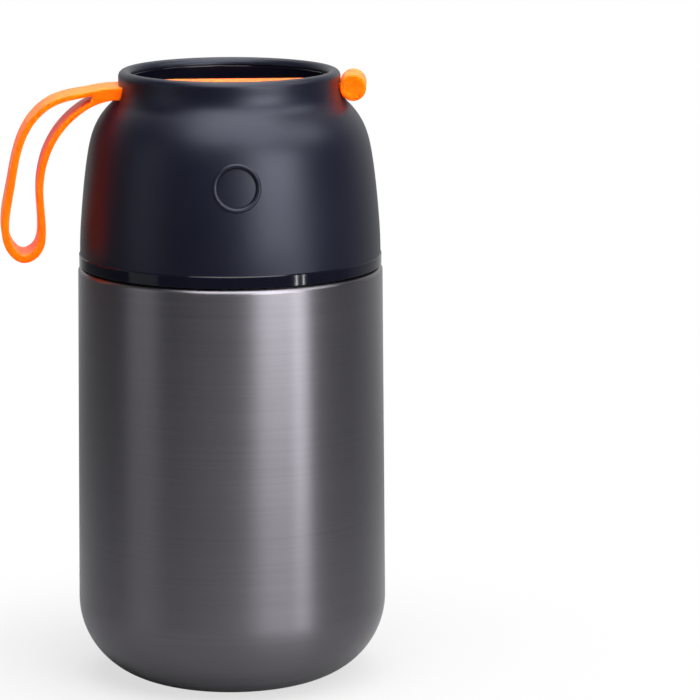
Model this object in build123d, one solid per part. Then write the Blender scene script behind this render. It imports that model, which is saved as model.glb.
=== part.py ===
from build123d import *
import os
from math import pi, sin, sqrt

# Insulated food jar: a vacuum flask, a screwed stopper with a pressure release
# button, and a screwed lid that is also a bowl, with a silicone carry strap.
# Millimetres, +Z up, origin at the middle of the flat that the jar stands on.

# Clearances
weld_gap = 0.05            # pieces that are welded, bonded or moulded together
seat_gap = 0.05            # flat faces that rest on each other
slip_gap = 0.3             # curved faces of pieces that move past each other
bore_clearance = 0.08      # running fit of the valve stem
root_overlap = 0.3         # how far a thread's ridge reaches into its wall

# Steel flask
flask_radius = 50.0        # widest, just above the rounded corner
flask_taper = 1.0          # radius lost from there up to the shoulder
flask_height = 135.0       # floor to shoulder
flask_corner = 26.0        # soft corner round the base
shoulder_round = 1.5
shell_wall = 0.6
shoulder_width = 10.0      # steel's top edge in to the neck
neck_height = 23.0         # shoulder to lip
neck_gap = 2.9             # vacuum in the neck, which leaves a 70 mm mouth
vessel_wall = 0.5
vacuum_gap = 3.2           # between shell and vessel at the shoulder
vessel_floor = 10.0        # height of the inside floor
vessel_corner = 20.0
shoulder_share = 0.55      # of the vessel's shoulder width, rounded at its outer end
bend_share = 0.3           # and at its inner end, into the neck
shoulder_space = 2.4       # vacuum between the two shoulders

# Vacuum base
bottom_height = 3.0        # underside of the welded inner bottom
bottom_thickness = 0.8
exhaust_radius = 1.0
plug_radius = 2.5
plug_depth = 1.3
cap_margin = 2.1           # flat rim of the shell outside the base cap
cap_thickness = 0.8
cap_groove_radius = 16.0
cap_groove_width = 1.6
cap_groove_depth = 0.3
getter_radius = 6.0
getter_thickness = 2.4
holder_wall = 0.4
holder_window = 3.0
foil_thickness = 0.2
foil_low = 32.0
foil_high = 118.0

# Threaded collar and shoulder gasket
collar_drop = 4.5          # lip down to the collar's top edge
collar_edge = 0.5
collar_flange_height = 1.3
gasket_height = 0.4
gasket_inset = 1.0         # shoulder's round to the gasket's outer edge
collar_thread_height = 9.0
thread_depth = 1.0
liner_thread_depth = 1.25
thread_width = 1.8
thread_pitch = 3.6
thread_turns = 1.1

# Lid
lid_step = 0.65            # matte shell inside the steel's top edge
band_step = 0.3            # gloss band outside the matte shell
band_height = 3.85
band_edge = 0.2            # round on the band's lower edge
band_bevel = 0.3           # and slope on its upper one
lid_height = 62.65         # lower edge to crest
dome_steps = 8             # points along the dome, less one
dome_slope = 1.1           # inwards per unit of height where the dome meets the ring
dome_points = [(0.314, 0.8), (0.662, 2.75), (0.892, 6.1)]   # share of the dome's height, inset
ring_height = 11.05        # crest down to where the ring turns into the dome
ring_foot = 2.75           # ring's side out to that turn
shell_thickness = 2.0
liner_gap = 0.15
liner_thickness = 1.8
skirt_height = 9.5         # straight inside wall that carries the lid's thread
liner_thread_height = 3.4
ring_inset = 12.85         # matte shell's edge in to the ring
ring_lip = 4.1
ring_fillet = 7.0
insert_thickness = 1.4
insert_floor = 1.7
insert_round = 1.5
insert_lip = 0.5
insert_drop = 2.2          # crest down to the insert's edge
dimple_radius = 6.0
dimple_depth = 0.8
dimple_share = 0.5675      # of the dome's height, band to the dimple's centre
rim_width = 1.7            # soft raised rim round the dimple
rim_rise = 0.3
rim_slope = 0.9            # round on its inner edge
rim_round = 0.6            # and on its outer one
rim_root = 0.6             # how far it reaches below the dimple's floor
rim_overlap = 0.6          # and into the wall beside the dimple
seal_height = 2.0
ledge_thickness = 1.4      # inside the liner, over the lid's gasket

# Stopper
plug_wall = 2.0
plug_clearance = 2.2       # neck wall to plug, where the threads lie
neck_thread_depth = 0.7
neck_thread_drop = 14.0    # lip down to the start of the neck's thread
flange_inset = 0.6         # inside the neck's outer wall
flange_height = 3.0
stopper_seal_height = 0.5
stopper_seal_margin = 0.5  # from the plug and inside the flange
stopper_reach = 22.0       # lip down to the plug's lower edge
base_thickness = 2.0
base_round = 1.2
hub_radius = 26.0
hub_height = 8.6
hub_wall = 3.0
hub_round = 1.5
flange_round = 1.0
plug_thread_height = 10.0
grip_count = 24
grip_radius = 1.6
well_radius = 9.6
well_depth = 6.0
tube_radius = 8.5
foam_gap = 0.2

# Release button and valve
button_travel = 2.0
button_radius = 9.3
button_rise = 2.0          # how far it stands over the hub
button_wall = 1.3
button_round = 0.9
button_float = 0.5         # room left under it when it is pressed home
dish_radius = 38.5         # hollow for the fingertip
dish_depth = 0.5
spring_radius = 6.4
spring_wire = 0.45
spring_turns = 4.0
stem_radius = 3.3
stem_flat = 0.7
stem_tip = 0.4             # stem past its retainer
valve_radius = 7.0
valve_thickness = 1.7
valve_edge = 0.6
retainer_radius = 5.0
retainer_thickness = 1.1

# Carry strap
strap_width = 18.0
root_thickness = 3.9       # strap where it enters the ring
strand_thin = 1.5          # each strand where it leaves the root
strand_thick = 2.4         # at the bottom of the loop
web_thickness = 2.0
web_drop = 4.05            # crest down to the web's top face
web_shares = (0.5, 0.85, 0.6)   # of the ring's radius: top end of the thick root, and its foot
bead_radius = 4.2
bead_round = 0.6
bead_drop = 5.35           # crest down to the bead's middle
root_drop = 6.75           # crest down to the middle of the strap's root
loop_points = [(-7.3, 0.15), (-18.8, -2.8), (-25.9, -9.0), (-30.1, -18.0), (-32.7, -30.4),
               (-34.5, -42.9), (-32.9, -49.4), (-28.8, -52.5), (-24.6, -50.4), (-22.8, -43.9),
               (-23.3, -30.9), (-19.9, -16.6), (-12.3, -6.9), (-5.8, -2.8)]
loop_split = 0.06          # share of the loop's length from the root to the split
loop_steps = 28

# Heights and radii that follow
flask_top_radius = flask_radius - flask_taper
neck_radius = flask_top_radius - shoulder_width
mouth_radius = neck_radius - shell_wall - neck_gap - vessel_wall
lip_z = flask_height + neck_height
shell_inner_corner = flask_corner - shell_wall
corner_centre_r = flask_radius - flask_corner
cap_radius = corner_centre_r - cap_margin
vessel_radius = flask_top_radius - shell_wall - vacuum_gap - vessel_wall
vessel_top_z = flask_height - shell_wall - shoulder_space
lid_radius = flask_top_radius - lid_step
band_radius = lid_radius + band_step
skirt_inner = lid_radius - shell_thickness - liner_gap - liner_thickness
flange_reach = skirt_inner - slip_gap
collar_inner = neck_radius + weld_gap
collar_outer = skirt_inner - liner_thread_depth - slip_gap - thread_depth
collar_z = flask_height + seat_gap
collar_top = lip_z - collar_drop
seal_inner = neck_radius + slip_gap
seal_ledge_z = collar_top + seal_height + 2 * seat_gap
lid_z = flask_height + gasket_height + 2 * seat_gap
seam_z = lid_z + band_height
crest_z = lid_z + lid_height
dome_top_z = crest_z - ring_height
dimple_z = seam_z + dimple_share * (dome_top_z - seam_z)
ring_radius = lid_radius - ring_inset
lip_radius = ring_lip / 2
lip_centre_z = crest_z - lip_radius
ring_inner = ring_radius - ring_lip
insert_outer = ring_inner + insert_thickness
seal_z = lip_z + stopper_seal_height + 2 * seat_gap
plug_radius_outer = mouth_radius - plug_clearance
flange_radius = neck_radius - flange_inset
hub_z = seal_z + flange_height
hub_top = hub_z + hub_height
plug_z = lip_z - stopper_reach
well_z = hub_top - well_depth
button_top = hub_top + button_rise
button_z = well_z + button_travel + button_float
root_half = root_thickness / 2
pivot_x = -(ring_radius + slip_gap + root_half)
pivot_z = crest_z - root_drop


def turned(outline):
    """Solid of revolution about the jar's axis from a closed outline."""
    return revolve(make_face(Plane.XZ * outline), Axis.Z)


def ring(inner, outer, low, high):
    return turned(Polyline((inner, low), (outer, low), (outer, high), (inner, high), close=True))


def disc(radius, low, high):
    return Pos(0, 0, low) * Cylinder(radius, high - low, align=(Align.CENTER, Align.CENTER, Align.MIN))


def thread(radius, depth, low, turns, pitch=thread_pitch):
    """Helical ridge on a wall of the given radius; a negative depth points inwards."""
    path = Helix(pitch, pitch * turns, radius, center=(0, 0, low))
    section = Plane(origin=path @ 0, x_dir=(1, 0, 0), z_dir=path % 0)
    root = -root_overlap if depth > 0 else root_overlap
    ridge = Polyline((root, -thread_width / 2), (depth, -thread_width / 4), (depth, thread_width / 4),
                     (root, thread_width / 2), close=True)
    return sweep(make_face(section * ridge), path, is_frenet=True)


# Flask

def outer_shell():
    inner_rim = cap_radius + weld_gap
    wall = shell_wall
    outline = [
        Line((inner_rim, 0), (corner_centre_r, 0)),
        CenterArc((corner_centre_r, flask_corner), flask_corner, -90, 90),
        Line((flask_radius, flask_corner), (flask_top_radius, flask_height - shoulder_round)),
        CenterArc((flask_top_radius - shoulder_round, flask_height - shoulder_round), shoulder_round, 0, 90),
        Polyline((flask_top_radius - shoulder_round, flask_height), (neck_radius, flask_height),
                 (neck_radius, lip_z - wall), (neck_radius - wall, lip_z - wall),
                 (neck_radius - wall, flask_height - wall),
                 (flask_top_radius - shoulder_round, flask_height - wall),
                 (flask_top_radius - wall, flask_height - shoulder_round),
                 (flask_radius - wall, flask_corner)),
        CenterArc((corner_centre_r, flask_corner), shell_inner_corner, 0, -90),
        Polyline((corner_centre_r, wall), (inner_rim, wall), (inner_rim, 0)),
    ]
    return turned(Curve(outline))


def inner_vessel():
    outer = vessel_radius + vessel_wall
    neck_out = mouth_radius + vessel_wall
    floor_low = vessel_floor - vessel_wall
    side = [(0, floor_low), (outer, floor_low), (outer, vessel_top_z), (neck_out, vessel_top_z),
            (neck_out, lip_z - vessel_wall), (neck_radius - shell_wall - weld_gap, lip_z - vessel_wall),
            (neck_radius - shell_wall - weld_gap, lip_z), (mouth_radius, lip_z),
            (mouth_radius, vessel_top_z - vessel_wall), (vessel_radius, vessel_top_z - vessel_wall),
            (vessel_radius, vessel_floor), (0, vessel_floor)]
    face = make_face(Polyline(*side, close=True))
    shoulder_bend = shoulder_share * (outer - neck_out)
    neck_bend = bend_share * (outer - neck_out)
    rounds = [(1, vessel_corner), (2, shoulder_bend), (3, neck_bend), (8, neck_bend + vessel_wall),
              (9, shoulder_bend - vessel_wall), (10, vessel_corner - vessel_wall)]
    for index, radius in rounds:
        corner = face.vertices().sort_by_distance((*side[index], 0))[0]
        face = fillet(corner, radius)
    return revolve(Plane.XZ * face, Axis.Z) + neck_thread()


def neck_thread():
    return thread(mouth_radius, -neck_thread_depth, lip_z - neck_thread_drop, thread_turns)


def outer_bottom():
    reach = sqrt(shell_inner_corner ** 2 - (flask_corner - bottom_height) ** 2)
    radius = corner_centre_r + reach - weld_gap
    plate = disc(radius, bottom_height, bottom_height + bottom_thickness)
    return plate - disc(exhaust_radius, bottom_height - 1, bottom_height + bottom_thickness + 1)


def vacuum_plug():
    pin = disc(exhaust_radius - weld_gap, bottom_height - plug_depth / 2,
               bottom_height + bottom_thickness)
    low = bottom_height - plug_depth
    bead = disc(plug_radius, low, bottom_height - weld_gap)
    return pin + fillet(bead.edges().group_by(Axis.Z)[0], plug_depth / 2)


def base_cap():
    cap = disc(cap_radius, 0, cap_thickness)
    groove = ring(cap_groove_radius - cap_groove_width / 2, cap_groove_radius + cap_groove_width / 2,
                  -1, cap_groove_depth)
    return cap - groove


def heat_shield():
    inner = vessel_radius + vessel_wall + weld_gap
    return ring(inner, inner + foil_thickness, foil_low, foil_high)


def getter_holder():
    top = vessel_floor - vessel_wall - weld_gap
    low = top - getter_thickness - holder_wall - weld_gap
    inner = getter_radius + weld_gap
    cup = disc(inner + holder_wall, low, top) - disc(inner, low + holder_wall, top + 1)
    return cup - disc(holder_window, low - 1, top)


def getter():
    top = vessel_floor - vessel_wall - weld_gap
    return disc(getter_radius, top - getter_thickness, top)


def neck_collar():
    sleeve = ring(collar_inner, collar_outer, collar_z, collar_top)
    sleeve = chamfer(sleeve.edges().group_by(Axis.Z)[-1], collar_edge)
    flange = ring(collar_inner, flange_reach, collar_z, collar_z + collar_flange_height)
    ridge = thread(collar_outer, thread_depth, collar_z + collar_thread_height, thread_turns)
    return sleeve + flange + ridge


def shoulder_gasket():
    outer = flask_top_radius - shoulder_round - gasket_inset
    low = flask_height + seat_gap
    return ring(flange_reach + weld_gap, outer, low, low + gasket_height)


# Lid

def dome_line():
    rise = dome_top_z - seam_z
    points = [(lid_radius - inset, seam_z + share * rise) for share, inset in dome_points]
    top = (ring_radius + ring_foot, dome_top_z)
    return Spline((lid_radius, seam_z), *points, top, tangents=[(0, 1), (-dome_slope, 1)])


def dome_offset(inset):
    """The dome's outline moved inwards, as points from the band up to the ring."""
    line = dome_line()
    points = []
    for step in range(dome_steps + 1):
        share = step / dome_steps
        slope = line % share
        spot = line @ share
        points.append((spot.X - slope.Y * inset, spot.Y + slope.X * inset))
    return points


def lid_shell():
    dome = dome_line()
    top = dome @ 1
    inner = dome_offset(shell_thickness)
    hole = insert_outer + weld_gap
    neck_low = top.Y + ring_fillet
    outline = [
        dome,
        Spline((top.X, top.Y), (ring_radius, neck_low), tangents=[(-dome_slope, 1), (0, 1)]),
        Line((ring_radius, neck_low), (ring_radius, lip_centre_z)),
        CenterArc((ring_radius - lip_radius, lip_centre_z), lip_radius, 0, 180),
        Polyline((ring_inner, lip_centre_z), (ring_inner, crest_z - insert_drop),
                 (hole, crest_z - insert_drop), (hole, inner[-1][1]), inner[-1]),
        Spline(*inner[::-1]),
        Line(inner[0], (lid_radius, seam_z)),
    ]
    dimple = dimple_bore(dimple_radius + rim_overlap) - dome_core(dimple_depth)
    return turned(Curve(outline)) - dimple + dimple_rim() - root_slot() - bead_slot()


def dome_core(inset):
    """All that lies inside the dome's outline moved inwards."""
    wall = dome_offset(inset)
    return turned(Curve([Spline(*wall), Polyline(wall[-1], (0, wall[-1][1]), (0, wall[0][1]), wall[0])]))


def dimple_bore(radius):
    return Pos(0, -lid_radius, dimple_z) * Rot(X=90) * Cylinder(radius, lid_radius)


def dimple_rim():
    """Rim round the shallow thumb dimple in the front of the lid, parallel to the wall."""
    outer = dimple_radius + rim_width
    rim = dimple_bore(outer) & dome_core(-rim_rise)
    rim = rim - dome_core(dimple_depth + rim_root) - dimple_bore(dimple_radius)
    rim = fillet(rim_edge(rim, outer), rim_round)
    return fillet(rim_edge(rim, dimple_radius), rim_slope)


def rim_edge(rim, radius):
    """The rim's front edge that runs round at the given radius."""
    near = rim.edges().filter_by(lambda edge: abs(edge.length / (2 * pi) - radius) < rim_width / 8)
    return near.sort_by(Axis.Y)[0]


def slot(x, low, high):
    width = strap_width + 2 * slip_gap
    return Pos(x, 0, (low + high) / 2) * Box(4 * ring_lip, width, high - low)


def root_slot():
    half = root_half + slip_gap
    return slot(-ring_radius, pivot_z - half, pivot_z + half)


def bead_slot():
    top = crest_z - web_drop
    return slot(ring_radius, top - web_thickness - slip_gap, top + slip_gap)


def lid_liner():
    outer = dome_offset(shell_thickness + liner_gap)
    inner = dome_offset(shell_thickness + liner_gap + liner_thickness)
    seam = seam_z - weld_gap
    outline = [
        Line((skirt_inner, lid_z), (band_radius - band_edge, lid_z)),
        CenterArc((band_radius - band_edge, lid_z + band_edge), band_edge, -90, 90),
        Polyline((band_radius, lid_z + band_edge), (band_radius, seam - band_bevel),
                 (band_radius - band_bevel, seam), (outer[0][0], seam), outer[0]),
        Spline(*outer),
        Polyline(outer[-1], (0, outer[-1][1]), (0, inner[-1][1]), inner[-1]),
        Spline(*inner[:1:-1]),
        Polyline(inner[2], (skirt_inner, lid_z + skirt_height), (skirt_inner, lid_z)),
    ]
    bowl = turned(Curve(outline))
    ledge_outer = (outer[3][0] + inner[3][0]) / 2
    ledge = ring(seal_inner + slip_gap, ledge_outer, seal_ledge_z, seal_ledge_z + ledge_thickness)
    return bowl + ledge + thread(skirt_inner, -liner_thread_depth, lid_z + liner_thread_height, thread_turns)


def lid_insert():
    low = dome_offset(shell_thickness)[-1][1]
    cup = disc(insert_outer, low, crest_z - insert_drop - weld_gap)
    hollow = disc(insert_outer - insert_thickness, low + insert_floor, crest_z)
    hollow = fillet(hollow.edges().group_by(Axis.Z)[0], insert_round)
    cup = cup - hollow
    lip = cup.edges().group_by(Axis.Z)[-1].sort_by(SortBy.LENGTH)[0]
    return fillet(lip, insert_lip) - root_slot() - bead_slot()


def lid_gasket():
    low = seal_ledge_z - seat_gap - seal_height
    return ring(seal_inner, collar_outer, low, low + seal_height)


# Stopper

def stopper_cap():
    skirt = disc(plug_radius_outer, plug_z, hub_z)
    flange = disc(flange_radius, seal_z, hub_z)
    flange = fillet(flange.edges().group_by(Axis.Z)[-1], flange_round)
    hub = disc(hub_radius, hub_z - flange_height / 2, hub_top)
    hub = fillet(hub.edges().group_by(Axis.Z)[-1], hub_round)
    groove = disc(grip_radius, hub_z + grip_radius / 2, hub_top + 1)
    hub = hub - [place * groove for place in PolarLocations(hub_radius + grip_radius / 2, grip_count)]
    depth = plug_clearance - neck_thread_depth - slip_gap
    cap = skirt + flange + hub + thread(plug_radius_outer, depth, plug_z + plug_thread_height, thread_turns)
    cap = cap - stopper_hollow(0) - disc(well_radius, well_z, hub_top + 1)
    return cap - disc(stem_radius + bore_clearance, plug_z - 1, hub_top)


def stopper_hollow(gap):
    """Room for the foam in the plug and up into the hub, made smaller by a gap all round."""
    low = ring(tube_radius + gap, plug_radius_outer - plug_wall - gap, plug_z + gap, seal_z - gap)
    high = ring(well_radius + plug_wall + gap, hub_radius - hub_wall - gap, seal_z - 2 * gap - plug_wall,
                hub_top - hub_wall - gap)
    return low + high


def stopper_base():
    top = plug_z - weld_gap
    plate = disc(plug_radius_outer, top - base_thickness, top)
    plate = fillet(plate.edges().group_by(Axis.Z)[0], base_round)
    return plate - disc(stem_radius + bore_clearance, top - base_thickness - 1, top + 1)


def stopper_insulation():
    return stopper_hollow(foam_gap)


def stopper_gasket():
    low = lip_z + seat_gap
    return ring(plug_radius_outer + stopper_seal_margin, flange_radius - stopper_seal_margin,
                low, low + stopper_seal_height)


def release_button():
    cap = disc(button_radius, button_z, button_top)
    cap = fillet(cap.edges().group_by(Axis.Z)[-1], button_round)
    hollow = disc(button_radius - button_wall, button_z - 1, button_top - button_wall)
    dish = Pos(0, 0, button_top + dish_radius - dish_depth) * Sphere(dish_radius)
    return cap - hollow - dish


def button_spring():
    low = well_z + spring_wire + seat_gap
    high = button_top - button_wall - spring_wire - seat_gap
    pitch = (high - low) / spring_turns
    path = Helix(pitch, high - low, spring_radius, center=(0, 0, low))
    section = Plane(origin=path @ 0, x_dir=(1, 0, 0), z_dir=path % 0)
    return sweep(section * Circle(spring_wire), path, is_frenet=True)


def valve_stem():
    top = button_top - button_wall - weld_gap
    low = stem_low()
    stem = disc(stem_radius, low, top)
    flat = Pos(1.5 * stem_radius - stem_flat, 0, (low + top) / 2)
    flat = flat * Box(stem_radius, 2 * stem_radius, 2 * (top - low))
    return stem - [turn * flat for turn in PolarLocations(0, 3)]


def stem_low():
    return plug_z - weld_gap - base_thickness - seat_gap - valve_thickness - retainer_thickness - stem_tip


def valve_seal():
    top = plug_z - weld_gap - base_thickness - seat_gap
    seal = ring(stem_radius + weld_gap, valve_radius, top - valve_thickness, top)
    return chamfer(seal.edges().group_by(Axis.Z)[0].sort_by(SortBy.LENGTH)[-1], valve_edge)


def valve_retainer():
    top = plug_z - weld_gap - base_thickness - seat_gap - valve_thickness - seat_gap
    return ring(stem_radius + weld_gap, retainer_radius, top - retainer_thickness, top)


# Strap

def strap_web():
    """Flat web across the lid's recess, thick at its root, with a bead outside the ring."""
    top = crest_z - web_drop
    low = top - web_thickness
    end = -ring_radius
    top_share, foot_share, low_share = web_shares
    bead_x = ring_radius + slip_gap + bead_radius
    side = Polyline((end, pivot_z + root_half), (end * top_share, top), (bead_x, top), (bead_x, low),
                    (end * low_share, low), (end * foot_share, pivot_z - root_half),
                    (end, pivot_z - root_half), close=True)
    web = extrude(make_face(Plane.XZ * side), strap_width / 2, both=True)
    bead = Rot(X=90) * Cylinder(bead_radius, strap_width)
    bead = fillet(bead.edges().filter_by(GeomType.CIRCLE), bead_round)
    return web + Pos(bead_x, 0, crest_z - bead_drop) * bead


def loop_side(line, shares, side):
    """Points beside the loop's centre line, half a strand away on the given side."""
    points = []
    for share in shares:
        slope = line % share
        spot = line @ share
        half = (strand_thin + (strand_thick - strand_thin) * sin(pi * share) ** 2) / 2
        points.append((spot.X + slope.Y * half * side, spot.Y - slope.X * half * side))
    return points


def strap_loop():
    """Teardrop carry loop: one strand out and down, round, and back to the root."""
    half = (root_thickness - strand_thin) / 2
    route = [(pivot_x, pivot_z + half)]
    route += [(pivot_x + x, pivot_z + z) for x, z in loop_points]
    route += [(pivot_x, pivot_z - half)]
    line = Spline(*route, tangents=[(-1, 0), (1, 0.15)])
    shares = [step / loop_steps for step in range(loop_steps + 1)]
    window_shares = [loop_split + (1 - 2 * loop_split) * share for share in shares]
    outside = loop_side(line, shares, 1)
    window = loop_side(line, window_shares, -1)
    body = make_face(Plane.XZ * Curve([Spline(*outside), Line(outside[-1], outside[0])]))
    hole = make_face(Plane.XZ * Curve([Spline(*window), Line(window[-1], window[0])]))
    band = extrude(body, strap_width / 2, both=True) - extrude(hole, strap_width, both=True)
    knuckle = Pos(pivot_x, 0, pivot_z) * Rot(X=90) * Cylinder(root_half, strap_width)
    return band + knuckle


pieces = {
    "outer_shell": outer_shell,
    "inner_vessel": inner_vessel,
    "outer_bottom": outer_bottom,
    "vacuum_plug": vacuum_plug,
    "base_cap": base_cap,
    "heat_shield": heat_shield,
    "getter_holder": getter_holder,
    "getter": getter,
    "neck_collar": neck_collar,
    "shoulder_gasket": shoulder_gasket,
    "lid_shell": lid_shell,
    "lid_liner": lid_liner,
    "lid_insert": lid_insert,
    "lid_gasket": lid_gasket,
    "stopper_cap": stopper_cap,
    "stopper_base": stopper_base,
    "stopper_insulation": stopper_insulation,
    "stopper_gasket": stopper_gasket,
    "release_button": release_button,
    "button_spring": button_spring,
    "valve_stem": valve_stem,
    "valve_seal": valve_seal,
    "valve_retainer": valve_retainer,
    "strap_web": strap_web,
    "strap_loop": strap_loop,
}

os.makedirs("parts", exist_ok=True)
for name, make in pieces.items():
    export_step(make(), f"parts/{name}.step")
    print(name)
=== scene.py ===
import math

import bpy
import numpy as np
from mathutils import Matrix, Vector
from mathutils.geometry import delaunay_2d_cdt


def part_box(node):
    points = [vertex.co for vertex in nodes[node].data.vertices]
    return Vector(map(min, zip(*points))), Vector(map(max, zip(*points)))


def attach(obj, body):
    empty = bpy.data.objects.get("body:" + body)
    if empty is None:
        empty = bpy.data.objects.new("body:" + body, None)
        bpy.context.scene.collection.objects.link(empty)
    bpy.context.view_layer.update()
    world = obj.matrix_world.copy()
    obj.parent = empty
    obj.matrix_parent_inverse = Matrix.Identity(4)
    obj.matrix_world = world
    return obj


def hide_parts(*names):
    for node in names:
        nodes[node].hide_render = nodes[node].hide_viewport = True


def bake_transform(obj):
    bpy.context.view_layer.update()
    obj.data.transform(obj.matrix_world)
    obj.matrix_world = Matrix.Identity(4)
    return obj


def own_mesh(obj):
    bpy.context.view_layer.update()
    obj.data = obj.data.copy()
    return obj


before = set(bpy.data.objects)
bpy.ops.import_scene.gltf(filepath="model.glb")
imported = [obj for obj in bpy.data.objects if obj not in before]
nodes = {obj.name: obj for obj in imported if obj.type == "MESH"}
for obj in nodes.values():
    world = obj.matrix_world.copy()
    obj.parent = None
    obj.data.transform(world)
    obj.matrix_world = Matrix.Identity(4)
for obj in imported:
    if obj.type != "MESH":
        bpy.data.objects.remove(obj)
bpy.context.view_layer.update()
print("frame loaded with", len(nodes), "nodes")

# shapes are drawn in millimetres and built in metres
metre = 1000.0
tiny = 1e-9


# Shader helpers

class Wire:
    # one output socket; a sum on it adds a Math node to its tree
    def __init__(self, tree, socket):
        self.tree, self.socket = tree, socket

    def sum(self, operation, first, second, clamp=False):
        settings = {"operation": operation, "use_clamp": clamp}
        return self.tree.add("ShaderNodeMath", settings, [first, second])

    def __add__(self, other):
        return self.sum("ADD", self, other)

    def __radd__(self, other):
        return self.sum("ADD", other, self)

    def __sub__(self, other):
        return self.sum("SUBTRACT", self, other)

    def __rsub__(self, other):
        return self.sum("SUBTRACT", other, self)

    def __mul__(self, other):
        return self.sum("MULTIPLY", self, other)

    def __rmul__(self, other):
        return self.sum("MULTIPLY", other, self)

    def __pow__(self, other):
        return self.sum("POWER", self, other)

    def __rpow__(self, other):
        return self.sum("POWER", other, self)

    def clamped(self):
        return self.sum("ADD", self, 0.0, clamp=True)


class ShaderTree:
    # a node tree; add makes any node from its kind, its settings and its inputs
    def __init__(self, tree):
        self.tree = tree
        tree.nodes.clear()

    def add(self, kind, settings=None, inputs=None, output=0):
        node = self.tree.nodes.new(kind)
        for key, value in (settings or {}).items():
            setattr(node, key, value)
        given = inputs or {}
        pairs = given.items() if isinstance(given, dict) else enumerate(given)
        for key, value in pairs:
            if isinstance(value, Wire):
                self.tree.links.new(value.socket, node.inputs[key])
            else:
                node.inputs[key].default_value = value
        return Wire(self, node.outputs[output]) if len(node.outputs) else None

    def split(self, vector):
        outputs = self.add("ShaderNodeSeparateXYZ", {}, [vector]).socket.node.outputs
        return [Wire(self, output) for output in outputs]

    def rays(self, *kinds):
        outputs = self.add("ShaderNodeLightPath").socket.node.outputs
        return [Wire(self, outputs[f"Is {kind} Ray"]) for kind in kinds]

    def stretched(self, vector, scale):
        return self.add("ShaderNodeVectorMath", {"operation": "MULTIPLY"}, [vector, scale])

    def noise(self, vector, scale, detail, roughness):
        return self.add("ShaderNodeTexNoise", {}, {
            "Vector": vector, "Scale": scale, "Detail": detail, "Roughness": roughness})

    def blended(self, factor, first, second):
        # a Mix node takes its colours at sockets 6 and 7 and gives the blend at output 2
        return self.add("ShaderNodeMix", {"data_type": "RGBA"}, {0: factor, 6: first, 7: second}, output=2)

    def toned(self, factor, look):
        return self.blended(factor, (*look["dark"], 1.0), (*look["light"], 1.0))

    def spread(self, value, low, high, toLow, toHigh):
        return self.add("ShaderNodeMapRange", {"interpolation_type": "SMOOTHSTEP"},
                        [value, low, high, toLow, toHigh])

    def bumped(self, height, strength, distance):
        return self.add("ShaderNodeBump", {}, {
            "Height": height, "Strength": strength, "Distance": distance})


def swung(value, *swings):
    # the value swung up and down by pairs of a noise, whose mean is a half, and an amount
    for noise, amount in swings:
        value = value + (noise - 0.5) * amount
    return value


def newFinish(name):
    material = bpy.data.materials.new(name)
    material.use_nodes = True
    tree = ShaderTree(material.node_tree)
    return material, tree, tree.add("ShaderNodeTexCoord", output="Object")


def surfaced(tree, inputs):
    shader = tree.add("ShaderNodeBsdfPrincipled", {}, inputs)
    tree.add("ShaderNodeOutputMaterial", {}, [shader])


# Finishes: each noise is (scale, detail, roughness), each depth is in metres

brushing = {"fine": (1.0, 4.0, 0.6), "fineShare": 0.6, "coarse": (0.22, 2.0, 0.5), "coarseShare": 0.4,
            "cloud": (22.0, 2.0, 0.5), "cloudRough": 0.05, "contrast": 1.6, "offset": 0.3,
            "quarterTurn": 0.25, "depth": 0.00004}


def turnedSteel(name, look):
    # steel brushed round its axis: fine lines that follow the height on walls and the radius on discs
    material, tree, place = newFinish(name)
    x, y, z = tree.split(place)
    radius = (x * x + y * y) ** 0.5
    dense, drift = look["lines"], look["drift"]
    lines = tree.add("ShaderNodeCombineXYZ", {}, [radius * dense + x * drift, z * dense + y * drift,
                                                  x * drift - y * drift])
    fine = tree.noise(lines, *brushing["fine"])
    coarse = tree.noise(lines, *brushing["coarse"])
    cloud = tree.noise(place, *brushing["cloud"])
    grain = fine * brushing["fineShare"] + coarse * brushing["coarseShare"]
    surfaced(tree, {
        "Base Color": tree.toned((grain * brushing["contrast"] - brushing["offset"]).clamped(), look),
        "Metallic": 1.0,
        "Roughness": swung(look["rough"], (grain, look["roughVary"]), (cloud, brushing["cloudRough"])),
        "Anisotropic": look["stretch"],
        "Anisotropic Rotation": brushing["quarterTurn"],
        "Normal": tree.bumped(grain, look["bump"], brushing["depth"]),
    })
    return material


softTouch = {"grainDetail": 2.0, "grainSoft": 0.6, "grainRough": 0.12, "cloud": (35.0, 3.0, 0.5),
             "cloudRough": 0.08, "depth": 0.00005}


def softPlastic(name, look):
    # soft-touch moulding: faint grain, faint clouding of the sheen
    material, tree, place = newFinish(name)
    grain = tree.noise(place, look["grain"], softTouch["grainDetail"], softTouch["grainSoft"])
    cloud = tree.noise(place, *softTouch["cloud"])
    surfaced(tree, {
        "Base Color": tree.toned(cloud, look),
        "Roughness": swung(look["rough"], (grain, softTouch["grainRough"]),
                           (cloud, softTouch["cloudRough"])),
        "Specular IOR Level": look["specular"],
        "Specular Tint": (*look["sheen"], 1.0),
        "Normal": tree.bumped(grain, look["bump"], softTouch["depth"]),
    })
    return material


polish = {"waves": (60.0, 1.0, 0.4), "wipes": (140.0, 4.0, 0.65), "wipeStretch": (1.0, 1.0, 0.3),
          "bump": 0.12, "depth": 0.0001}


def glossPlastic(name, look):
    # polished moulding with slight moulding waves and a few dull wipes
    material, tree, place = newFinish(name)
    waves = tree.noise(place, *polish["waves"])
    wipes = tree.noise(tree.stretched(place, polish["wipeStretch"]), *polish["wipes"])
    surfaced(tree, {
        "Base Color": tree.toned(wipes, look),
        "Roughness": swung(look["rough"], (wipes, look["wipe"])),
        "Specular IOR Level": look["specular"],
        "Normal": tree.bumped(waves, polish["bump"], polish["depth"]),
    })
    return material


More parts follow.
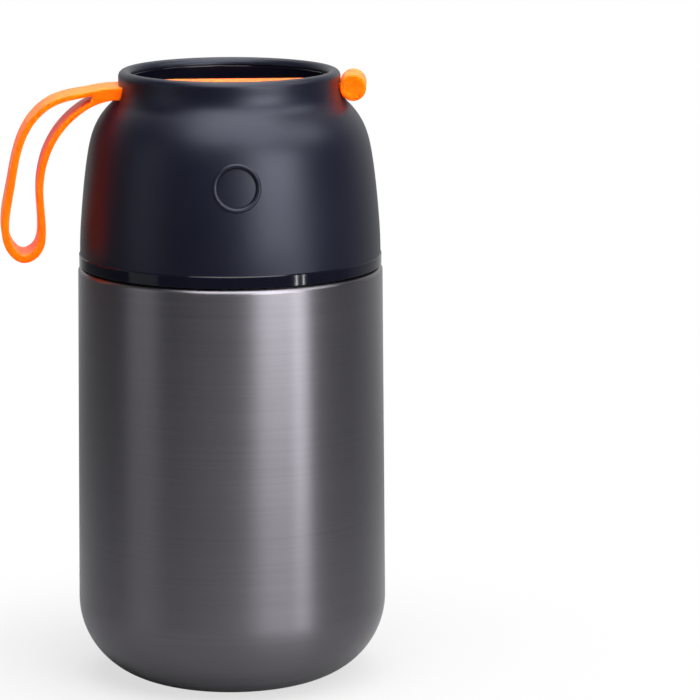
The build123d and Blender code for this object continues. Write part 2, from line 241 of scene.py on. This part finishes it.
rubber = {"bloom": (180.0, 4.0, 0.6), "bloomRough": 0.1, "grain": (4200.0, 2.0, 0.5), "bump": 0.06,
          "depth": 0.00004, "reachUnit": 0.001}


def silicone(name, look):
    # matt rubber that light soaks into: a pale bloom on it, faint grain
    material, tree, place = newFinish(name)
    bloom = tree.noise(place, *rubber["bloom"])
    grain = tree.noise(place, *rubber["grain"])
    surfaced(tree, {
        "Base Color": tree.toned(bloom, look),
        "Roughness": swung(look["rough"], (bloom, rubber["bloomRough"])),
        "Specular IOR Level": look["specular"],
        "Specular Tint": (*look["sheen"], 1.0),
        "Subsurface Weight": look["glow"],
        "Subsurface Radius": look["reach"],
        "Subsurface Scale": rubber["reachUnit"],
        "Transmission Weight": look["clear"],
        "Normal": tree.bumped(grain, rubber["bump"], rubber["depth"]),
    })
    return material


grains = {"cellShare": 0.7, "speckScale": 0.4, "speckDetail": 3.0, "speckSoft": 0.6, "speckShare": 0.5,
          "speckRough": 0.1, "bump": 0.3, "depth": 0.0003}


def grainy(name, look):
    # foam, sintered metal: cells or grains in colour and relief
    material, tree, place = newFinish(name)
    cells = tree.add("ShaderNodeTexVoronoi", {"feature": "F1"}, {"Vector": place, "Scale": look["cells"]})
    speck = tree.noise(place, look["cells"] * grains["speckScale"], grains["speckDetail"],
                       grains["speckSoft"])
    mixture = cells * grains["cellShare"] + speck * grains["speckShare"]
    surfaced(tree, {
        "Base Color": tree.toned(mixture.clamped(), look),
        "Roughness": swung(look["rough"], (speck, grains["speckRough"])),
        "Metallic": look["metal"],
        "Normal": tree.bumped(cells, grains["bump"], grains["depth"]),
    })
    return material


crumpling = {"crumple": (260.0, 4.0, 0.6), "crumpleShare": 0.6, "creaseGain": 2.0, "smooth": 0.2,
             "roughVary": 0.12, "bump": 0.35, "depth": 0.0004}


def foil(name, look):
    # thin bright foil with small creases
    material, tree, place = newFinish(name)
    creases = tree.add("ShaderNodeTexVoronoi", {"feature": "DISTANCE_TO_EDGE"},
                       {"Vector": place, "Scale": look["creases"]})
    crumple = tree.noise(place, *crumpling["crumple"])
    relief = (creases * crumpling["creaseGain"]).clamped() + crumple * crumpling["crumpleShare"]
    surfaced(tree, {
        "Base Color": tree.toned(crumple, look),
        "Metallic": 1.0,
        "Roughness": crumpling["smooth"] + crumple * crumpling["roughVary"],
        "Normal": tree.bumped(relief, crumpling["bump"], crumpling["depth"]),
    })
    return material


finishes = {
    "gunmetal": turnedSteel("gunmetal_brushed", {
        "dark": (0.094, 0.089, 0.100), "light": (0.118, 0.113, 0.126), "lines": 3400.0, "drift": 16.0,
        "rough": 0.36, "roughVary": 0.10, "stretch": 0.7, "bump": 0.18}),
    "plainSteel": turnedSteel("steel_satin", {
        "dark": (0.50, 0.50, 0.51), "light": (0.62, 0.62, 0.63), "lines": 1900.0, "drift": 14.0,
        "rough": 0.30, "roughVary": 0.12, "stretch": 0.6, "bump": 0.2}),
    "foil": foil("foil_bright", {
        "dark": (0.74, 0.74, 0.76), "light": (0.9, 0.9, 0.91), "creases": 160.0}),
    "getter": grainy("getter_sintered", {
        "dark": (0.18, 0.18, 0.19), "light": (0.38, 0.38, 0.40), "cells": 2400.0, "rough": 0.75,
        "metal": 0.6}),
    "foam": grainy("foam_rigid", {
        "dark": (0.70, 0.68, 0.60), "light": (0.88, 0.87, 0.82), "cells": 1300.0, "rough": 0.9,
        "metal": 0.0}),
    "matteLid": softPlastic("lid_soft_touch", {
        "dark": (0.0006, 0.0008, 0.0036), "light": (0.0012, 0.0015, 0.0052), "grain": 3600.0,
        "rough": 0.40, "specular": 0.218, "sheen": (0.80, 0.85, 1.0), "bump": 0.12}),
    "buttonGrey": softPlastic("button_grey", {
        "dark": (0.30, 0.31, 0.33), "light": (0.36, 0.37, 0.39), "grain": 2600.0,
        "rough": 0.42, "specular": 0.5, "sheen": (1.0, 1.0, 1.0), "bump": 0.1}),
    "glossBlack": glossPlastic("gloss_black", {
        "dark": (0.0012, 0.0012, 0.0030), "light": (0.0020, 0.0020, 0.0044), "rough": 0.13, "wipe": 0.05,
        "specular": 0.16}),
    "glossBand": glossPlastic("gloss_band", {
        "dark": (0.0014, 0.0016, 0.0036), "light": (0.0020, 0.0023, 0.0052), "rough": 0.09, "wipe": 0.04,
        "specular": 0.1}),
    "clearSilicone": silicone("silicone_clear", {
        "dark": (0.66, 0.66, 0.65), "light": (0.76, 0.76, 0.75), "rough": 0.42, "specular": 0.45,
        "sheen": (1.0, 1.0, 1.0), "glow": 0.3, "reach": (1.0, 1.0, 1.0), "clear": 0.25}),
    "blackSilicone": silicone("silicone_black", {
        "dark": (0.002, 0.002, 0.002), "light": (0.004, 0.004, 0.004), "rough": 0.6, "specular": 0.1,
        "sheen": (1.0, 1.0, 1.0), "glow": 0.0, "reach": (1.0, 1.0, 1.0), "clear": 0.0}),
    "orangeSilicone": silicone("silicone_orange", {
        "dark": (0.84, 0.090, 0.001), "light": (0.86, 0.116, 0.002), "rough": 0.42, "specular": 0.2,
        "sheen": (1.0, 0.42, 0.08), "glow": 1.0, "reach": (5.0, 1.2, 0.12), "clear": 0.0}),
}

# the finish of every solid that keeps its own form
nodeFinish = {
    "inner_vessel": "plainSteel", "outer_bottom": "plainSteel", "vacuum_plug": "plainSteel",
    "base_cap": "plainSteel", "getter_holder": "plainSteel", "valve_retainer": "plainSteel",
    "heat_shield": "foil", "getter": "getter", "stopper_insulation": "foam",
    "lid_shell": "matteLid", "lid_liner": "glossBand", "lid_insert": "glossBlack",
    "neck_collar": "glossBlack", "stopper_cap": "glossBlack", "stopper_base": "glossBlack",
    "release_button": "buttonGrey", "valve_stem": "buttonGrey",
    "shoulder_gasket": "blackSilicone", "lid_gasket": "clearSilicone", "stopper_gasket": "clearSilicone",
    "valve_seal": "clearSilicone",
}
for name, finish in nodeFinish.items():
    nodes[name].data.materials.clear()
    nodes[name].data.materials.append(finishes[finish])
print("finishes on", len(nodeFinish), "nodes")


# Meshes

def newMesh(name, points, faces, material, smooth=True):
    mesh = bpy.data.meshes.new(name)
    mesh.from_pydata([tuple(p) for p in points], [], faces)
    mesh.validate()
    mesh.polygons.foreach_set("use_smooth", [smooth] * len(mesh.polygons))
    mesh.materials.append(material)
    piece = bpy.data.objects.new(name, mesh)
    bpy.context.scene.collection.objects.link(piece)
    return piece


def bands(rings, count, first=0, joined=False):
    # quads between rings of count points each, numbered from first; joined ties the last ring to the first
    quads = []
    for r in range(rings if joined else rings - 1):
        near, far = first + r * count, first + (r + 1) % rings * count
        for k in range(count):
            ahead = (k + 1) % count
            quads.append((near + k, near + ahead, far + ahead, far + k))
    return quads


def caps(rings, count):
    # the flat faces on the first and the last ring
    return [tuple(range(count))[::-1], tuple(range((rings - 1) * count, rings * count))]


def smoothLine(points, startSlope, endSlope, count):
    # clamped cubic spline through the points, spaced by chord length
    points = np.array(points, float)
    gaps = np.linalg.norm(np.diff(points, axis=0), axis=1)
    knots = np.concatenate([[0.0], np.cumsum(gaps)])
    size = len(points)
    matrix = np.zeros((size, size))
    wanted = np.zeros((size, 2))
    matrix[0, 0] = matrix[-1, -1] = 1.0
    wanted[0] = np.array(startSlope) / np.linalg.norm(startSlope)
    wanted[-1] = np.array(endSlope) / np.linalg.norm(endSlope)
    for i in range(1, size - 1):
        before, after = gaps[i - 1], gaps[i]
        matrix[i, i - 1], matrix[i, i], matrix[i, i + 1] = 1 / before, 2 / before + 2 / after, 1 / after
        climb, fall = points[i] - points[i - 1], points[i + 1] - points[i]
        wanted[i] = 3 * (climb / before ** 2 + fall / after ** 2)
    slopes = np.linalg.solve(matrix, wanted)
    spots, ways = [], []
    for place in np.linspace(0, knots[-1], count):
        i = min(int(np.searchsorted(knots, place, side="right")) - 1, size - 2)
        span = gaps[i]
        t = (place - knots[i]) / span
        p, q, m, n = points[i], points[i + 1], slopes[i] * span, slopes[i + 1] * span
        spots.append((2 * t ** 3 - 3 * t ** 2 + 1) * p + (t ** 3 - 2 * t ** 2 + t) * m
                     + (3 * t ** 2 - 2 * t ** 3) * q + (t ** 3 - t ** 2) * n)
        ways.append((6 * t ** 2 - 6 * t) * p + (3 * t ** 2 - 4 * t + 1) * m
                    + (6 * t - 6 * t ** 2) * q + (3 * t ** 2 - 2 * t) * n)
    ways = np.array(ways)
    return np.array(spots), ways / np.linalg.norm(ways, axis=1)[:, None]


def evenly(line, step):
    # the same closed outline with points a step apart, its sharp corners kept
    line = np.array(line, float)
    out = []
    for a, b in zip(line, np.roll(line, -1, axis=0)):
        pieces = max(1, int(round(np.linalg.norm(b - a) / step)))
        out += [a + (b - a) * k / pieces for k in range(pieces)]
    return np.array(out)


def insetOutline(line, distance, side):
    # a closed outline moved sideways, to its left where side is 1
    ahead, behind = np.roll(line, -1, axis=0) - line, line - np.roll(line, 1, axis=0)
    normal = np.zeros_like(line)
    for way in (ahead, behind):
        length = np.maximum(np.linalg.norm(way, axis=1), tiny)[:, None]
        normal += np.stack([-way[:, 1], way[:, 0]], axis=1) / length
    normal /= np.maximum(np.linalg.norm(normal, axis=1), tiny)[:, None]
    return line + normal * distance * side


def facing(line):
    # +1 where the outline runs anticlockwise
    ahead = np.roll(line, -1, axis=0)
    return 1.0 if np.sum(line[:, 0] * ahead[:, 1] - ahead[:, 0] * line[:, 1]) > 0 else -1.0


def within(spot, points, rims):
    # even-odd test against all rims at once, so a hole counts as outside
    crossings = 0
    for i, j in rims:
        a, b = points[i], points[j]
        if (a.y > spot.y) != (b.y > spot.y):
            crossings += spot.x < a.x + (b.x - a.x) * (spot.y - a.y) / (b.y - a.y)
    return crossings % 2 == 1


# the kind of triangulation that keeps only what its rims enclose
insideRims = 1


def moulded(name, outline, hole, halfWidth, edge, edgeSteps, material):
    # a flat moulding across Y: side outline with one hole, its edges rounded all round
    turns = [k / edgeSteps * math.pi / 2 for k in range(edgeSteps + 1)]
    part = [(halfWidth - edge + edge * math.sin(t), edge * (1 - math.cos(t))) for t in turns]
    rings = part[::-1] + [(-y, inset) for y, inset in part]
    loops = [(outline, facing(outline)), (hole, -facing(hole))]
    points, faces, starts = [], [], []
    for line, side in loops:
        starts.append(len(points))
        quads = bands(len(rings), len(line), starts[-1])
        faces += quads if side > 0 else [quad[::-1] for quad in quads]
        for y, inset in rings:
            points += [(x, y, z) for x, z in insetOutline(line, inset, side)]
    # the flat sides get short triangles only, so that they follow the outline where the piece bends
    for ring, flip in ((0, False), (len(rings) - 1, True)):
        index, rims = [], []
        for (line, side), start in zip(loops, starts):
            count, first = len(line), len(index)
            index += range(start + ring * count, start + (ring + 1) * count)
            rims += [(first + i, first + (i + 1) % count) for i in range(count)]
        flat = [Vector((points[i][0], points[i][2])) for i in index]
        spots, _, cells, sources, _, _ = delaunay_2d_cdt(flat, rims, [], insideRims, tiny)
        for cell in cells:
            a, b, c = [spots[i] for i in cell]
            if within((a + b + c) / 3, flat, rims):
                corners = [index[sources[i][0]] for i in cell]
                anticlockwise = (b - a).cross(c - a) > 0
                faces.append(corners if anticlockwise == flip else corners[::-1])
    return newMesh(name, points, faces, material)


def turnedPiece(name, profile, place, skew, count, material):
    # turned about an axis along Y through place; profile is (radius, y) from one flat end to the other
    points = []
    for radius, y in profile:
        for k in range(count):
            angle = 2 * math.pi * k / count
            x, z = radius * math.cos(angle), radius * math.sin(angle)
            points.append((place[0] + x * math.cos(skew) - y * math.sin(skew),
                           place[1] + x * math.sin(skew) + y * math.cos(skew), place[2] + z))
    # turning about Y runs these faces inwards, so each is turned over
    faces = [(a, d, c, b) for a, b, c, d in bands(len(profile), count)]
    faces += [cap[::-1] for cap in caps(len(profile), count)]
    return newMesh(name, points, faces, material)


def lathed(name, profile, count, crease, material):
    # turned about the jar's axis; profile is a closed outline of (radius, z), anticlockwise
    points = []
    for radius, z in profile:
        for k in range(count):
            angle = 2 * math.pi * k / count
            points.append((radius * math.cos(angle), radius * math.sin(angle), z))
    piece = newMesh(name, points, bands(len(profile), count, joined=True), material)
    piece.data.set_sharp_from_angle(angle=math.radians(crease))
    return piece


def wound(name, look, low, high, material):
    # round wire wound right-handed about the jar's axis, its lowest and highest points at low and high
    radius, wire, sides = look["radius"] / metre, look["wire"] / metre, look["sides"]
    rise = (high - low - 2 * wire) / (2 * math.pi * look["turns"])
    rings = int(look["turns"] * look["steps"]) + 1
    points = []
    for s in range(rings):
        turn = 2 * math.pi * s / look["steps"]
        out = Vector((math.cos(turn), math.sin(turn), 0))
        along = Vector((-radius * out.y, radius * out.x, rise)).normalized()
        across = along.cross(out)
        middle = radius * out + Vector((0, 0, low + wire + rise * turn))
        for k in range(sides):
            angle = 2 * math.pi * k / sides
            points.append(middle + wire * (math.cos(angle) * out + math.sin(angle) * across))
    return newMesh(name, points, bands(rings, sides) + caps(rings, sides), material)


def arc(middle, radius, first, last, steps):
    turn = np.radians(np.linspace(first, last, steps + 1))
    return [(middle[0] + radius * math.cos(t), middle[1] + radius * math.sin(t)) for t in turn]


# Steel shell of the flask: drawn wall with a soft corner at the foot and a rounded shoulder
# rows and middle place the wall's rings, in millimetres from its ends and as shares of it

flaskShell = {"radius": 50.0, "top": 49.0, "height": 135.0, "corner": 26.0, "round": 1.5, "wall": 0.6,
              "rim": 21.95, "neck": 39.0, "lip": 157.4, "cornerSteps": 48, "roundSteps": 20,
              "rows": (0.4, 2.0, 8.0, 20.0), "middle": (0.35, 0.5, 0.65), "sides": 256, "crease": 35.0}


def flaskProfile(look):
    corner, bend, wall, height = look["corner"], look["round"], look["wall"], look["height"]
    foot = (look["radius"] - corner, corner)
    shoulder = (look["top"] - bend, height - bend)
    low, high = (look["radius"], corner), (look["top"], shoulder[1])
    span = high[1] - low[1]
    near = [row / span for row in look["rows"]]
    shares = [*near, *look["middle"], *[1 - share for share in near[::-1]]]
    side = [(low[0] + (high[0] - low[0]) * share, low[1] + span * share) for share in shares]
    neck = [(look["neck"], height), (look["neck"], look["lip"]), (look["neck"] - wall, look["lip"]),
            (look["neck"] - wall, height - wall), (shoulder[0], height - wall), (high[0] - wall, high[1])]
    outer = [(look["rim"], 0.0)] + arc(foot, corner, -90, 0, look["cornerSteps"]) + side
    outer += arc(shoulder, bend, 0, 90, look["roundSteps"]) + [(shoulder[0] - look["rows"][0], height)]
    inner = arc(foot, corner - wall, 0, -90, look["cornerSteps"]) + [(look["rim"], wall)]
    return [(r / metre, z / metre) for r, z in outer + neck + inner]


shell = lathed("flask_shell", flaskProfile(flaskShell), flaskShell["sides"], flaskShell["crease"],
               finishes["gunmetal"])
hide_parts("outer_shell")
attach(shell, "flask")
print("flask shell made")


# Button spring: wound wire

coilSpring = {"radius": 6.4, "wire": 0.45, "turns": 4.0, "steps": 48, "sides": 12, "travel": 2.0}

springLow, springHigh = [corner[2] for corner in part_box("button_spring")]
spring = wound("coil_spring", coilSpring, springLow, springHigh, finishes["plainSteel"])
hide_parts("button_spring")
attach(spring, "stopper")
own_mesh(spring)
print("button spring made")


# Carry strap: one soft moulding, with the web, the root and the loop in one piece
# the loop's points are (x, z) from its pivot; the web's and the root's places are from the jar's middle

carryStrap = {
    "pivot": (-37.75, 191.4),
    "points": [(-7.3, 0.15), (-18.8, -2.8), (-25.9, -9.0), (-30.1, -18.0), (-32.7, -30.4),
               (-34.5, -42.9), (-32.9, -49.4), (-28.8, -52.5), (-24.6, -50.4), (-22.8, -43.9),
               (-23.3, -30.9), (-19.9, -16.6), (-12.3, -6.9), (-5.8, -2.8)],
    "startSlope": (-1, 0), "endSlope": (1, 0.15), "samples": 401,
    "root": 3.9, "thin": 1.5, "thick": 2.4, "split": 0.045,
    "skew": 2.0, "skewFrom": -38.5, "skewTo": -50.0,
    "narrow": 0.22, "narrowFrom": 31.0, "narrowTo": 34.5,
    "webTop": 194.1, "webLow": 192.1, "webEnd": 37.2,
    "rootTop": -17.7, "rootFoot": -30.2, "rootLow": -21.3,
    "halfWidth": 9.0, "edge": 0.45, "edgeSteps": 5, "step": 0.7,
}


def strapOutlines(look):
    px, pz = look["pivot"]
    half = (look["root"] - look["thin"]) / 2
    route = [(px, pz + half)] + [(px + x, pz + z) for x, z in look["points"]] + [(px, pz - half)]
    spots, ways = smoothLine(route, look["startSlope"], look["endSlope"], look["samples"])
    shares = np.linspace(0, 1, len(spots))
    halves = (look["thin"] + (look["thick"] - look["thin"]) * np.sin(math.pi * shares) ** 2) / 2
    offset = np.stack([ways[:, 1], -ways[:, 0]], axis=1) * halves[:, None]
    outside = spots + offset
    window = (spots - offset)[(shares >= look["split"]) & (shares <= 1 - look["split"])]
    top = [(look["webEnd"], look["webTop"]), (look["rootTop"], look["webTop"])]
    low = [(look["rootFoot"], outside[-1][1]), (look["rootLow"], look["webLow"]),
           (look["webEnd"], look["webLow"])]
    outline = evenly(np.vstack([top, outside, low]), look["step"])
    return outline / metre, evenly(window, look["step"]) / metre


def eased(value, low, high):
    share = min(max((value - low) / (high - low), 0.0), 1.0)
    return share * share * (3 - 2 * share)


outline, window = strapOutlines(carryStrap)
strap = moulded("carry_strap", outline, window, carryStrap["halfWidth"] / metre, carryStrap["edge"] / metre,
                carryStrap["edgeSteps"], finishes["orangeSilicone"])
for point in strap.data.vertices:
    # the soft loop hangs a little askew, and the web narrows on its way through the ring to the bead
    askew = eased(point.co.x * metre, carryStrap["skewFrom"], carryStrap["skewTo"])
    point.co.x -= point.co.y * math.tan(math.radians(carryStrap["skew"])) * askew
    narrowed = eased(point.co.x * metre, carryStrap["narrowFrom"], carryStrap["narrowTo"])
    point.co.y *= 1 - carryStrap["narrow"] * narrowed
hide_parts("strap_web", "strap_loop")
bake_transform(strap)
print("carry strap made")


# Bead at the strap's other end: a round bar with shallow hollows in its ends

strapBead = {"place": (39.65, 0.0, 192.8), "radius": 4.2, "half": 9.0, "edge": 0.6, "edgeSteps": 8,
             "dish": 0.12, "dishRadius": 2.2, "lip": 0.7, "lipSteps": 6, "skew": -5.0, "sides": 96}


def beadProfile(look):
    half, edge, dish = look["half"], look["edge"], look["dish"]
    face = [(look["dishRadius"], half - dish)]
    for k in range(1, look["lipSteps"] + 1):
        t = k / look["lipSteps"]
        drop = dish * (0.5 + 0.5 * math.cos(math.pi * t))
        face.append((look["dishRadius"] + look["lip"] * t, half - drop))
    for k in range(look["edgeSteps"] + 1):
        t = k / look["edgeSteps"] * math.pi / 2
        face.append((look["radius"] - edge * (1 - math.sin(t)), half - edge * (1 - math.cos(t))))
    side = [(r / metre, y / metre) for r, y in face]
    return [(r, -y) for r, y in side] + side[::-1]


bead = turnedPiece("strap_bead", beadProfile(strapBead), [v / metre for v in strapBead["place"]],
                   math.radians(strapBead["skew"]), strapBead["sides"], finishes["orangeSilicone"])
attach(bead, "lid")
print("strap bead made")


# Floor, world, lamps and camera

floorLook = {"size": 9.0, "low": -0.0001, "tone": 0.27, "mottle": (30.0, 2.0, 0.5), "mottleTone": 0.99,
             "fadeNear": 0.03, "fadeFar": 0.16, "lift": 0.68,
             "across": 0.5, "sideLow": 0.3, "sideHigh": 0.75, "sideLift": 0.6,
             "dimNear": 0.12, "dimFar": 0.35, "dim": 0.42}


def grey(tone):
    return (tone, tone, tone, 1)


def madeFloor(look):
    # white to the camera away from the jar, with its shadow kept; darker in what the steel mirrors
    material, tree, place = newFinish("floor_pale")
    x, y = tree.split(place)[:2]
    away = (x * x + y * y) ** 0.5
    fade = tree.spread(away, look["fadeNear"], look["fadeFar"], look["lift"], 1.0)
    mirrored = tree.spread(x * look["across"] + y, look["sideLow"], look["sideHigh"], 0.0, look["sideLift"])
    camera, glossy, passed = tree.rays("Camera", "Glossy", "Transmission")
    seen = (camera + mirrored * glossy + passed).clamped()
    mottle = tree.noise(place, *look["mottle"])
    paint = tree.blended(mottle, grey(look["tone"] * look["mottleTone"]), grey(look["tone"]))
    dimmed = tree.spread(away, look["dimNear"], look["dimFar"], 0.0, look["dim"])
    paint = tree.blended(dimmed * glossy, paint, grey(0))
    lit = tree.add("ShaderNodeBsdfDiffuse", {}, {"Color": paint})
    white = tree.add("ShaderNodeEmission", {}, {"Color": grey(1), "Strength": 1.0})
    both = tree.add("ShaderNodeMixShader", {}, [fade * seen, lit, white])
    tree.add("ShaderNodeOutputMaterial", {}, [both])
    half, low = look["size"] / 2, look["low"]
    corners = [(-half, -half, low), (half, -half, low), (half, half, low), (-half, half, low)]
    ground = newMesh("floor", corners, [(0, 1, 2, 3)], material, smooth=False)


worldLook = {"tone": 0.19, "blue": 1.03, "backLow": 0.12, "backHigh": 0.72,
             "turnLeft": 0.0, "turnRight": 0.6, "backLeft": 0.25, "backRight": 0.95,
             "riseLow": 0.03, "riseHigh": 0.17}


def madeWorld(look):
    # a dim room, white to the camera, with a white backdrop behind the jar in what it mirrors
    world = bpy.data.worlds.new("studio")
    bpy.context.scene.world = world
    world.use_nodes = True
    tree = ShaderTree(world.node_tree)
    x, y, z = tree.split(tree.add("ShaderNodeTexCoord", output="Generated"))
    behind = tree.spread(y, look["backLow"], look["backHigh"], 0.0, 1.0)
    sideTone = tree.spread(x, look["turnLeft"], look["turnRight"], look["backLeft"], look["backRight"])
    behind = behind * tree.spread(z, look["riseLow"], look["riseHigh"], sideTone, 1.0)
    camera, glossy, passed = tree.rays("Camera", "Glossy", "Transmission")
    shown = (camera + behind * (glossy + passed)).clamped()
    tone = look["tone"]
    colour = tree.blended(shown, (tone, tone, tone * look["blue"], 1), grey(1))
    sky = tree.add("ShaderNodeBackground", {}, {"Color": colour, "Strength": 1.0})
    tree.add("ShaderNodeOutputWorld", {}, [sky])


def softbox(name, place, target, width, height, power):
    data = bpy.data.lights.new(name, "AREA")
    data.shape = "RECTANGLE"
    data.size, data.size_y, data.energy = width, height, power
    lamp = bpy.data.objects.new(name, data)
    bpy.context.scene.collection.objects.link(lamp)
    lamp.location = place
    away = np.array(target) - np.array(place)
    flat = math.hypot(away[0], away[1])
    lamp.rotation_euler = (math.atan2(flat, -away[2]), 0, math.atan2(-away[0], away[1]))


lamps = {
    "key_right": {"place": (0.284, -0.436, 0.26), "target": (0, 0, 0.26), "width": 0.33, "height": 0.26,
                  "power": 4.1},
    "strip_near": {"place": (0.374, -0.361, 0.04), "target": (0, 0, 0.14), "width": 0.009, "height": 0.07,
                   "power": 0.19},
    "strip_far": {"place": (0.408, -0.323, 0.04), "target": (0, 0, 0.14), "width": 0.009, "height": 0.07,
                  "power": 0.16},
    "soft_right": {"place": (0.245, -0.71, 0.44), "target": (0, 0, 0.44), "width": 0.36, "height": 0.5,
                   "power": 0.62},
    "fill_left": {"place": (-0.658, -0.24, 0.26), "target": (0, 0, 0.26), "width": 0.32, "height": 0.5,
                  "power": 0.68},
    "dome_right": {"place": (0.195, -0.60, 0.60), "target": (0, 0, 0.18), "width": 0.34, "height": 0.26,
                   "power": 1.1},
    "dome_side": {"place": (0.58, -0.20, 0.70), "target": (0, 0, 0.18), "width": 0.50, "height": 0.36,
                  "power": 4.0},
    "top_front": {"place": (0.042, -0.398, 0.84), "target": (0, 0, 0.15), "width": 0.9, "height": 0.58,
                  "power": 14.2},
    "top_back": {"place": (0.04, 0.19, 0.92), "target": (0, 0.19, 0.0), "width": 0.8, "height": 0.62,
                 "power": 10.5},
}
cameraLook = {"place": (-0.0556, -1.2243, 0.3445), "pitch": 10.979, "heading": 4.4, "lens": 198.3,
              "sensor": 36.0, "near": 0.05, "far": 50.0}


def madeCamera(look):
    data = bpy.data.cameras.new("camera")
    data.lens, data.sensor_width = look["lens"], look["sensor"]
    data.clip_start, data.clip_end = look["near"], look["far"]
    eye = bpy.data.objects.new("camera", data)
    bpy.context.scene.collection.objects.link(eye)
    eye.location = look["place"]
    eye.rotation_euler = (math.radians(90 - look["pitch"]), 0, math.radians(-look["heading"]))
    bpy.context.scene.camera = eye


madeFloor(floorLook)
madeWorld(worldLook)
for name, lamp in lamps.items():
    softbox(name, **lamp)
madeCamera(cameraLook)
bpy.context.scene.view_settings.view_transform = "Standard"
print("studio ready")
